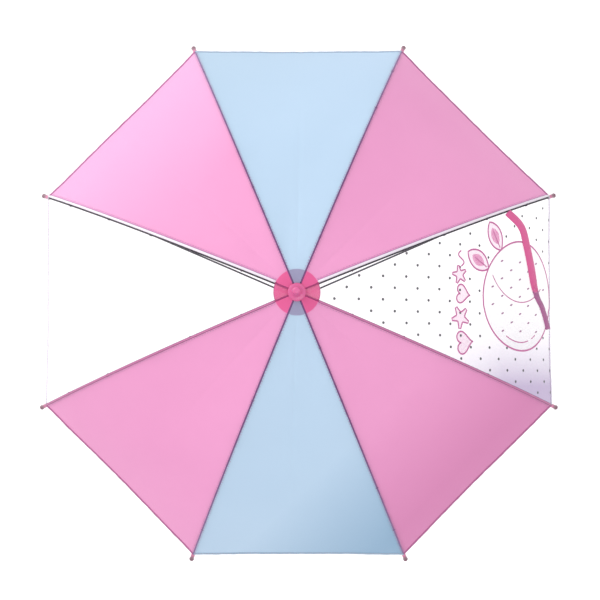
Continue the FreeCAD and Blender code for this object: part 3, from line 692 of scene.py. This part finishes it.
def ridge(name, rib, profile, centre, width, material, start=SEAM_FROM, end=HEM_ARC - 0.5 * MM):
    """A low band along a rib from (across, height) points of its profile, in half widths and mm."""
    steps = 120
    loops = []
    for a, b in profile:
        line, _, out = rib_line(rib, start, end, steps, CLOTH_LIFT, centre + a * width)
        loops.append(line + out * (b * MM))
    thing = band(name, loops, material)
    along = np.repeat(np.linspace(0, HEM_ARC, steps), len(profile))
    across = np.tile([(1 + a) * width for a, _ in profile], steps)
    set_uv(thing, np.stack([across, along], 1))
    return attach(thing, f"rib_{rib}")


SINGLE = [(-1.0, -0.25), (-0.92, 0.25), (-0.45, 0.42), (0.0, 0.5), (0.45, 0.42), (0.92, 0.25),
          (1.0, -0.25)]
DOUBLE = [(-1.0, -0.25), (-0.94, 0.3), (-0.5, 0.55), (-0.14, 0.45), (0.0, 0.1), (0.14, 0.45),
          (0.5, 0.55), (0.94, 0.3), (1.0, -0.25)]
FLAT = [(-1.0, -0.2), (-0.96, 0.1), (0.0, 0.12), (0.96, 0.1), (1.0, -0.2)]
RAISED = [(-1.0, -0.1), (-0.9, 0.35), (0.0, 0.42), (0.9, 0.35), (1.0, -0.1)]
# The pieces beside a bare rib: its profile, the middle of it aside from the rib, and half its width
LAP_FLAT = (FLAT, 2.2 * MM, 2.3 * MM)
LAP_EDGE = (RAISED, 2.15 * MM, 1.85 * MM)
LAP_SEAM = (RAISED, 4.5 * MM, 0.5 * MM)
STITCHES_FROM, STITCHES_SHORT = 20 * MM, 4 * MM   # along a rib, from its pivot and from the hem
STITCH_PITCH = 4.2 * MM
TIE_ARCS = (70 * MM, 150 * MM, 300 * MM, 390 * MM)
TIE_GAP, TIE_ACROSS, TIE_UP, TIE_RADIUS = 0.45 * MM, 2.3 * MM, 2.9 * MM, 0.32 * MM


def seam(rib):
    """The seam over a rib. Two cloths meet in a narrow tape. Beside film it is a wide double
    tape, or a white strip of film sewn on the cloth's edge where the rib is left bare."""
    if not over_film(rib):
        ridge(f"seam_{rib}", rib, SINGLE, 0.0, SINGLE_HALF, SEAM)
        return
    past_rosette = ROSETTE_RADIUS - PIVOT_RADIUS
    ridge(f"seam_root_{rib}", rib, SINGLE, 0.0, SINGLE_HALF, ROOT, end=past_rosette)
    if rib not in BARE_RIBS:
        ridge(f"seam_{rib}", rib, DOUBLE, 0.0, DOUBLE_HALF, MAUVE, start=past_rosette)
        return
    strips = (("film_lap", LAP_FLAT, LOOKS["clear"]), ("film_edge", LAP_EDGE, LAP),
              ("seam", LAP_SEAM, LILAC))
    for name, (profile, aside, width), material in strips:
        centre = cloth_side(rib) * aside
        ridge(f"{name}_{rib}", rib, profile, centre, width, material, start=past_rosette)


def stitch_aside(rib):
    """How far from a rib's middle the stitches beside its seam are."""
    if rib in BARE_RIBS:
        return 6.4 * MM
    return 3.4 * MM if over_film(rib) else 2.3 * MM


def seam_stitches(rib):
    """Rows of stitches beside the seam's tape, on cloth only."""
    parts = []
    count = int((HEM_ARC - STITCHES_FROM - STITCHES_SHORT) / STITCH_PITCH)
    for side, panel in ((-1, rib - 1), (1, rib)):
        if PANEL_LOOKS[panel - 1] in FILM:
            continue
        line, _, out = rib_line(rib, STITCHES_FROM, HEM_ARC - STITCHES_SHORT, 3 * count,
                                CLOTH_LIFT + 0.1 * MM, side * stitch_aside(rib))
        for n in range(count):
            parts.append(stitch(line[3 * n], line[3 * n + 2], out[3 * n], 0.55 * MM))
    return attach(joined_object(f"seam_stitches_{rib}", parts, SEAM_THREAD), f"rib_{rib}")


def rib_ties(rib):
    """Thread loops that tie the canopy's seam to its rib, at four places."""
    turns = np.linspace(0, 2 * math.pi, 25)[:-1, None]
    around = np.linspace(0, 2 * math.pi, 7)[None, :-1, None]
    n, k = turns.shape[0], around.shape[1]
    faces = [tuple(i % (n * k) for i in face) for face in grid_faces(n + 1, k, around=True)]
    parts = []
    for arc in TIE_ARCS:
        centre, side, out = (a[0] for a in rib_line(rib, arc, arc + MM, 2, 1.0 * MM))
        along = np.cross(side, out)
        radial = np.cos(turns) * side + np.sin(turns) * out
        oval = np.cos(turns) * side * TIE_ACROSS + np.sin(turns) * out * TIE_UP
        thread = (radial[:, None] * np.cos(around) + along * np.sin(around)) * TIE_RADIUS
        for shift in (-TIE_GAP, TIE_GAP):
            ring = centre + along * shift + oval
            parts.append(((ring[:, None] + thread).reshape(-1, 3), faces))
    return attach(joined_object(f"rib_ties_{rib}", parts, TIE_THREAD), f"rib_{rib}")


def rosette_sector(rib):
    """The part of the round film patch that lies over one rib."""
    rows, columns = 14, 15
    angles = rib_azimuth(rib) + np.linspace(-HALF, HALF, columns)
    points = ring_points(HUB_RADIUS, ROSETTE_RADIUS, rows, ROSETTE_LIFT, angles)
    thing = mesh_object(f"rosette_{rib}", points, [f[::-1] for f in grid_faces(rows, columns)], ROSETTE)
    set_uv(thing, points[:, :2])
    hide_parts("rosette_disc")
    return fold_with_rib(thing, rib)


def hub_ring(name, hole, lift, material):
    """The middle of a sheet, clamped under the ferrule, which stays with the shaft."""
    rows, columns = 5, 8 * RIB_COUNT
    angles = np.linspace(0, 2 * math.pi, columns + 1)[:-1]
    points = ring_points(hole, HUB_RADIUS, rows, lift, angles)
    faces = [f[::-1] for f in grid_faces(rows, columns, around=True)]
    thing = mesh_object(name, points, faces, material)
    set_uv(thing, points[:, :2])
    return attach(thing, "shaft")


hub_ring("canopy_hub", HOLE_RADIUS, CLOTH_LIFT, LOOKS["pink"])
hub_ring("rosette_hub", ROSETTE_HOLE, ROSETTE_LIFT, ROSETTE)


def build_panel(panel):
    next_rib = panel % RIB_COUNT + 1
    sides = (("a", panel, slice(0, COLUMNS), -1), ("b", next_rib, slice(COLUMNS - 1, None), 1))
    for tag, rib, columns, side in sides:
        lengths = half_panel(panel, rib, columns, tag)
        extras = [[] for _ in lengths]
        extras[-1] = [hem(panel, rib, side, tag), hem_stitches(panel, rib, side, tag)]
        if PANEL_LOOKS[panel - 1] == "printed":
            for own, pieces in zip(extras, printed_half(panel, rib, side, tag)):
                own += pieces


# -------- the print
DOT_RADIUS = 2.0 * MM
DOT_ROW = 18.3 * MM           # between dots of one row, on the film, outwards
DOT_STEP = 16.0 * MM          # between rows of dots, across
LINE_WIDTH = 2.5 * MM
PRINT_LIFT = 0.25 * MM
DOT_SHIFT = (-8.5 * MM, 4 * MM)
FRUIT_CENTRE = (2 * MM, 82 * MM)   # across the panel, and up from the middle of its hem
FRUIT_RADIUS = 79 * MM
SEED_STEP = 25 * MM
LEAF_REACH = 101 * MM         # from the fruit's middle to a leaf's
LEAF_ANGLES = (61, 33)        # degrees from straight across the panel
LEAF_SIZE = 23 * MM           # half of a leaf's length
LEAF_CLEAR = 18 * MM          # no dot lies nearer than about this to a leaf's middle
ROW_DOWN = 203 * MM           # how far the row of small shapes is from the hem


def film_point(across, down):
    """(u, t) of a point of the film, measured along the film from the middle of the hem:
    across it, and up towards the hub."""
    u = 1 - np.asarray(down, float) / HEM_ARC
    return u, np.asarray(across, float) / half_width(u)


def clip_side(polygon, side):
    """The part of an (across, down) polygon on one side of the panel's middle line."""
    kept = []
    for n, here in enumerate(polygon):
        there = polygon[(n + 1) % len(polygon)]
        a, b = here[0] * side, there[0] * side
        if a >= 0:
            kept.append(here)
        if (a > 0 > b) or (a < 0 < b):
            share = a / (a - b)
            kept.append(tuple(here[i] + (there[i] - here[i]) * share for i in (0, 1)))
    return kept


def ribbon(line, width, closed=False):
    """Small quads, as (across, down) corners, that follow a line with that width."""
    line = np.asarray(line, float)
    ahead = np.roll(line, -1, 0) - np.roll(line, 1, 0)
    if not closed:
        ahead[0], ahead[-1] = line[1] - line[0], line[-1] - line[-2]
    ahead /= np.linalg.norm(ahead, axis=1, keepdims=True)
    side = np.stack([-ahead[:, 1], ahead[:, 0]], 1) * width / 2
    left, right = line + side, line - side
    count = len(line) if closed else len(line) - 1
    order = [(n, (n + 1) % len(line)) for n in range(count)]
    return [[tuple(left[a]), tuple(left[b]), tuple(right[b]), tuple(right[a])] for a, b in order]


def print_piece(name, polygons, side, lift, material, rib, panel):
    """Thin ink on the film from flat polygons, for the half of the panel on one side."""
    kept = [clip_side(polygon, side) for polygon in polygons]
    kept = [polygon for polygon in kept if len(polygon) > 2 and min(p[1] for p in polygon) > 1.5 * MM]
    if not kept:
        return None
    flat = np.array([point for polygon in kept for point in polygon])
    u, t = film_point(flat[:, 0], flat[:, 1])
    starts = np.cumsum([0] + [len(polygon) for polygon in kept])
    faces = [tuple(range(starts[n], starts[n + 1])) for n in range(len(kept))]
    thing = mesh_object(name, spot_on(panel, u, t, lift), faces, material)
    set_uv(thing, flat)
    return fold_with_rib(thing, rib)


def polar(centre, reach, angle):
    return (centre[0] + reach * math.cos(angle), centre[1] + reach * math.sin(angle))


def tilted(centre, tilt, x, y):
    """A point at (x, y) from a centre, on axes turned by the tilt."""
    c, s = math.cos(tilt), math.sin(tilt)
    return (centre[0] + c * x - s * y, centre[1] + s * x + c * y)


def circle(centre, radius, count=12):
    return [polar(centre, radius, a) for a in np.arange(count) * 2 * math.pi / count]


def ring_line(centre, long, wide, tilt=0.0, count=60, wobble=0.0):
    """An oval's outline, its long axis tilted from straight across the panel."""
    line = []
    for a in np.arange(count) * 2 * math.pi / count:
        swell = 1 + wobble * math.cos(3 * a + 0.6)
        line.append(tilted(centre, tilt, long * math.cos(a) * swell, wide * math.sin(a) * swell))
    return line


def star_line(centre, size, tilt=0.0):
    """A plain five-pointed star with blunt corners."""
    line = []
    for n in range(10):
        reach = size * (1.0 if n % 2 == 0 else 0.5)
        line += [polar(centre, reach, tilt + math.pi / 2 + n * math.pi / 5 + lean) for lean in (-0.1, 0.1)]
    return line


def heart_line(centre, size, tilt=0.0, count=36):
    """A plain heart, its point towards the hem."""
    line = []
    for a in np.linspace(0, 2 * math.pi, count + 1)[:-1]:
        x = 16 * math.sin(a) ** 3
        y = 13 * math.cos(a) - 5 * math.cos(2 * a) - 2 * math.cos(3 * a) - math.cos(4 * a)
        line.append(tilted(centre, tilt, size * x / 17, size * y / 17))
    return line


def cells(line, rings=1):
    """Polygons that fill a closed line, in rings about its middle."""
    line = np.asarray(line)
    middle = line.mean(axis=0)
    found = []
    for ring in range(rings):
        inner, outer = ring / rings, (ring + 1) / rings
        for n in range(len(line)):
            a, b = line[n] - middle, line[(n + 1) % len(line)] - middle
            corners = [middle + a * inner, middle + a * outer, middle + b * outer, middle + b * inner]
            found.append([tuple(c) for c in (corners if ring else corners[:3])])
    return found


def leaf_centre(angle):
    return polar(FRUIT_CENTRE, LEAF_REACH, math.radians(angle))


def inside_fruit(point, margin):
    """Whether a point is on the fruit or a leaf, or nearer to one than the margin."""
    return math.dist(point, FRUIT_CENTRE) < FRUIT_RADIUS + margin or any(
        math.dist(point, leaf_centre(angle)) < LEAF_CLEAR + margin for angle in LEAF_ANGLES)


def leaf(angle, share):
    """A pointed leaf that points away from the fruit, at that share of its full size."""
    line = [(a, 0.5 * (1 - a * a) ** 0.8) for a in np.linspace(-1, 1, 15)[:-1]]
    line += [(-x, -y) for x, y in line]
    size = LEAF_SIZE * share
    return [tilted(leaf_centre(angle), math.radians(angle), size * x, size * y * 1.15) for x, y in line]


def vein(angle):
    """A leaf's middle vein, from the fruit towards its point."""
    reaches = np.linspace(LEAF_REACH - 19 * MM, LEAF_REACH + 8 * MM, 12)
    return [polar(FRUIT_CENTRE, reach, math.radians(angle)) for reach in reaches]


def dots():
    """Staggered rows of dots over the whole panel, apart from the fruit."""
    found = []
    for row in range(-9, 12):
        for n in range(13):
            across = row * DOT_STEP + DOT_SHIFT[0]
            down = (2 * n + row % 2) * DOT_ROW + DOT_SHIFT[1]
            u, t = film_point(across, down)
            edge = (1 - abs(float(t))) * float(u) * HEM_HALF
            if float(u) < 0.09 or down < 4 * MM or edge < 5 * MM or inside_fruit((across, down), 2 * MM):
                continue
            found.append(circle((across, down), DOT_RADIUS))
    return found


def arc_line(centre, radius, start, stop):
    """An arc about a point given from the fruit's middle, in mm and degrees."""
    middle = (FRUIT_CENTRE[0] + centre[0] * MM, FRUIT_CENTRE[1] + centre[1] * MM)
    return [polar(middle, radius * MM, a) for a in np.radians(np.linspace(start, stop, 24))]


def small_row():
    """A row of hearts and stars with a wave at its end, in place of any lettering."""
    shapes = [heart_line((-66 * MM, ROW_DOWN - 3 * MM), 17 * MM, 0.1),
              star_line((-31 * MM, ROW_DOWN + 2 * MM), 16 * MM, 0.2),
              heart_line((2 * MM, ROW_DOWN - 2 * MM), 14 * MM, -0.12),
              star_line((29 * MM, ROW_DOWN + 3 * MM), 13 * MM, -0.1)]
    wiggle = [((52 + 11 * s) * MM, ROW_DOWN + 5 * MM * math.sin(math.pi * s))
              for s in np.linspace(-1, 1, 24)]
    return shapes, wiggle


def fruit_marks():
    """The fruit's long crease and a highlight beside its edge."""
    return [arc_line((62, -2), 70, 118, 226), arc_line((0, 0), 66, 150, 196),
            arc_line((0, 0), 66, 204, 214)]


def fruit_seeds():
    """Staggered drops over the fruit, like a berry's."""
    found = []
    for row in range(-3, 4):
        for n in range(-3, 4):
            x, y = (n + 0.5 * (row % 2)) * SEED_STEP, row * 0.8 * SEED_STEP
            if math.hypot(x, y) < FRUIT_RADIUS - 14 * MM:
                centre = (FRUIT_CENTRE[0] + x, FRUIT_CENTRE[1] + y)
                found.append(ring_line(centre, 1.3 * MM, 3.0 * MM, 0.35, 14))
    return found


def printed_half(panel, rib, side, tag):
    """The print of half a panel, as a list of pieces for each of its lengths."""
    fruit = ring_line(FRUIT_CENTRE, FRUIT_RADIUS, FRUIT_RADIUS, 0.0, 90, 0.014)
    row, wiggle = small_row()
    lines = ribbon(fruit, LINE_WIDTH, closed=True) + ribbon(wiggle, 0.9 * LINE_WIDTH)
    for angle in LEAF_ANGLES:
        lines += ribbon(leaf(angle, 1.0), LINE_WIDTH, closed=True)
        lines += ribbon(vein(angle), 0.7 * LINE_WIDTH)
    for shape in row:
        lines += ribbon(shape, 0.9 * LINE_WIDTH, closed=True)
    for stroke in fruit_marks():
        lines += ribbon(stroke, 0.6 * LINE_WIDTH)
    pale = [c for angle in LEAF_ANGLES for c in cells(leaf(angle, 1.0), 2)]
    pale += [c for shape in row for c in cells(shape)]
    deep = [c for shape in (leaf(a, 0.58) for a in LEAF_ANGLES) for c in cells(shape)]
    seeds = [c for seed in fruit_seeds() for c in cells(seed)]
    made = []
    spots, high = dots(), HEM_ARC
    for number, (share, keep) in enumerate(FOLDS):
        low = (1 - share) * HEM_ARC
        near = [dot for dot in spots if low < dot[0][1] <= high]
        high = low
        made.append([print_piece(f"print_dots_{number}_{tag}", near, side, PRINT_LIFT, DOT_INK,
                                 rib, panel)])
    layers = (("white", cells(fruit, 10), 0.5, WHITE_INK), ("pale", pale, 0.7, PALE_INK),
              ("fill", deep, 0.85, FILL_INK), ("seeds", seeds, 1.0, SEED_INK),
              ("lines", lines, 1.2, LINE_INK))
    for name, polygons, share, material in layers:
        made[-1].append(print_piece(f"print_{name}_{tag}", polygons, side, share * PRINT_LIFT,
                                    material, rib, panel))
    return [[piece for piece in pieces if piece is not None] for pieces in made]


for number in range(1, RIB_COUNT + 1):
    build_panel(number)
    seam(number)
    seam_stitches(number)
    rib_ties(number)
    rosette_sector(number)


# -------- tie strap
STRAP_WIDTH = 12 * MM
STRAP_TAIL = 8.5 * MM
STRAP_THICK = 0.9 * MM
STRAP_LIFT = 1.1 * MM
STRAP_LENGTH = 0.2
STRAP_START = 0.80            # as a share of the hem's radius
STRAP_STEPS = 90
STRAP_SNAP = 0.62             # how far along the strap the snap is


def strap_plan():
    """The strap's middle line in the printed panel's plan, from its seam to the hem."""
    reach = STRAP_START * HEM_RADIUS
    seam_angle = HALF - math.radians(0.3)
    points = [(reach * math.cos(seam_angle), reach * math.sin(seam_angle))]
    steps = [(4.3, 8.6), (3.5, 6.2), (2.9, 3.7), (2.5, 1.7), (2.0, 0.2), (1.2, -1.2), (0.4, -3.6)]
    points += [(APOTHEM - a * STRAP_WIDTH, b * STRAP_WIDTH) for a, b in steps]
    return np.array(points)


def smooth_line(points, count):
    """A Catmull-Rom curve through the points, evenly stepped in its parameter."""
    ends = np.vstack([2 * points[0] - points[1], points, 2 * points[-1] - points[-2]])
    found = []
    for s in np.linspace(0, len(points) - 1 - 1e-9, count):
        k, f = int(s), s - int(s)
        p0, p1, p2, p3 = ends[k:k + 4]
        found.append(0.5 * (2 * p1 + (p2 - p0) * f + (2 * p0 - 5 * p1 + 4 * p2 - p3) * f * f
                            + (3 * p1 - p0 - 3 * p2 + p3) * f ** 3))
    return np.array(found)


def strap_line():
    return smooth_line(strap_plan(), STRAP_STEPS)


def strap():
    """A tape with rounded edges that lies over the film in a loose curve."""
    plan = strap_line()
    ahead = np.gradient(plan, axis=0)
    ahead /= np.linalg.norm(ahead, axis=1, keepdims=True)
    side = np.stack([-ahead[:, 1], ahead[:, 0]], 1)
    share = np.linspace(0, 1, STRAP_STEPS)
    narrow = np.clip((share - 0.5) / 0.25, 0, 1)
    half = (STRAP_WIDTH * (1 - narrow) + STRAP_TAIL * narrow) / 2
    rounded = [(-1, 0), (-0.9, 0.5), (0, 0.62), (0.9, 0.5), (1, 0), (0.9, -0.5), (0, -0.45),
               (-0.9, -0.5)]
    loops = []
    for a, b in rounded:
        spots = plan + side * (half * a)[:, None]
        u, t = at_plan(spots[:, 0], spots[:, 1])
        lift = STRAP_LIFT + b * STRAP_THICK
        loops.append(spot_on(RIB_COUNT, np.minimum(u, 1.0), np.minimum(t, 0.997), lift))
    thing = band("strap", loops, STRAP)
    thing.data.materials.append(STRAP_TAIL_TAPE)
    k = len(rounded)
    for polygon in thing.data.polygons:
        polygon.material_index = int(polygon.vertices[0] // k > STRAP_SNAP * STRAP_STEPS)
    across = np.outer(half, [a for a, _ in rounded]).ravel()
    set_uv(thing, np.stack([across, np.repeat(share * STRAP_LENGTH, k)], 1))
    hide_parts("tie_strap")
    return fold_with_rib(thing, 1)


def strap_snap():
    """The strap's snap: a turned button with a raised rim, square to the film."""
    x, y = strap_line()[int(STRAP_SNAP * STRAP_STEPS)]
    u, t = at_plan(x, y)
    base = spot_on(RIB_COUNT, u, t, STRAP_LIFT + 0.5 * STRAP_THICK)
    up = spot_on(RIB_COUNT, u, t, 10 * MM) - spot_on(RIB_COUNT, u, t, 0)
    up /= np.linalg.norm(up)
    a = np.cross(up, [0, 1, 0])
    a /= np.linalg.norm(a)
    b = np.cross(up, a)
    outline = [(0.0, 1.5), (1.4, 1.5), (2.0, 1.15), (2.9, 1.05), (3.3, 1.6), (3.9, 1.7), (4.4, 1.3),
               (4.6, 0.0)]
    angles = np.linspace(0, 2 * math.pi, 37)[:-1]
    points = [base + up * outline[0][1] * MM]
    for r, h in outline[1:]:
        points += [base + (a * math.cos(x) + b * math.sin(x)) * r * MM + up * h * MM for x in angles]
    count = len(angles)
    faces = [(0, 1 + n, 1 + (n + 1) % count) for n in range(count)]
    faces += grid_faces(len(outline) - 1, count, start=1, around=True)
    last = 1 + (len(outline) - 2) * count
    faces.append(tuple(range(last + count - 1, last - 1, -1)))
    thing = mesh_object("strap_snap", points, faces, PLASTIC_PINK)
    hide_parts("strap_fastener")
    return fold_with_rib(thing, 1)


strap()
strap_snap()


# -------- finishes of the CAD nodes
FINISHES = {
    "shaft_tube": CHROME, "top_notch": NYLON, "notch_wire": STEEL, "ferrule_cap": PLASTIC_PINK,
    "stop_pin": STEEL, "catch_pins": STEEL, "handle_grip": HANDLE_PINK, "handle_collar": PLASTIC_PINK,
    "handle_end_cap": PLASTIC_PINK, "top_catch": STEEL, "bottom_catch": STEEL,
    "runner_sleeve": PLASTIC_PINK, "runner_crown": NYLON,
}
for number in range(1, RIB_COUNT + 1):
    FINISHES[f"rib_{number}"] = RIB_STEEL
    FINISHES[f"rib_tip_{number}"] = TIP_PLASTIC
    FINISHES[f"rib_rivet_{number}"] = STEEL
    FINISHES[f"stretcher_{number}"] = STRETCHER_STEEL
for node, material in FINISHES.items():
    materials = frame["nodes"][node].data.materials
    materials.clear()
    materials.append(material)


# -------- floor, light, camera
FLOOR_DROP = 0.35
FLOOR_HALF = 12.0
LAMP_AIM = (0, 0, 0.4)
SENSOR = 36                   # the camera's, in mm
CAMERA_DISTANCE = 2.3         # from the middle of the hem's octagon
CAMERA_TILT = math.radians(3.2)
CAMERA_SIDE = math.radians(0.5)
CAMERA_AIM = (2.4 * MM, 0.9 * MM)   # where it looks, aside from the octagon's middle
OCTAGON_SHARE = 0.455         # corner radius as a share of the frame's side


def floor():
    material = Nodes("floor")
    tone = material.noise(3.0, 2.0, material.position())
    material.link("Base Color", material.mix(tone, (0.95, 0.95, 0.95, 1), (0.97, 0.97, 0.97, 1)))
    material.set(Roughness=0.9, Emission_Color=(1, 1, 1, 1), Emission_Strength=0.22)
    z = cad_low.z - FLOOR_DROP
    corners = [(x * FLOOR_HALF, y * FLOOR_HALF, z) for x, y in ((-1, -1), (1, -1), (1, 1), (-1, 1))]
    thing = mesh_object("floor", corners, [(0, 1, 2, 3)], material.material)


def area_light(name, place, size, power):
    data = bpy.data.lights.new(name, "AREA")
    data.size, data.energy = size, power
    light = bpy.data.objects.new(name, data)
    light.location = place
    light.rotation_mode = "QUATERNION"
    light.rotation_quaternion = (Vector(LAMP_AIM) - Vector(place)).to_track_quat("-Z", "Y")
    bpy.context.scene.collection.objects.link(light)


def lights():
    world = bpy.data.worlds.new("studio")
    world.use_nodes = True
    background = world.node_tree.nodes["Background"]
    background.inputs["Color"].default_value = (1, 1, 1, 1)
    background.inputs["Strength"].default_value = 0.74
    bpy.context.scene.world = world
    area_light("key", (-2.6, 2.1, 1.6), 2.2, 62)
    area_light("fill", (0.5, -0.9, 3.2), 2.4, 26)


def camera():
    hem_z = ARC_Z + (RHO + CLOTH_LIFT) * math.cos(HEM_SLOPE)
    target = Vector((CAMERA_AIM[0], CAMERA_AIM[1], hem_z))
    away = Vector((math.sin(CAMERA_SIDE), -math.sin(CAMERA_TILT), 0))
    away.z = math.sqrt(1 - away.x ** 2 - away.y ** 2)
    data = bpy.data.cameras.new("camera")
    data.sensor_width = SENSOR
    data.lens = SENSOR * OCTAGON_SHARE * CAMERA_DISTANCE / HEM_RADIUS
    data.clip_start, data.clip_end = 0.05, 50
    thing = bpy.data.objects.new("camera", data)
    right = Vector((away.z, 0, -away.x)).normalized()
    up = away.cross(right)
    thing.location = target + away * CAMERA_DISTANCE
    thing.rotation_mode = "QUATERNION"
    thing.rotation_quaternion = Matrix((right, up, away)).transposed().to_quaternion()
    bpy.context.scene.collection.objects.link(thing)
    bpy.context.scene.camera = thing


floor()
lights()
camera()
bpy.context.scene.view_settings.view_transform = "Standard"
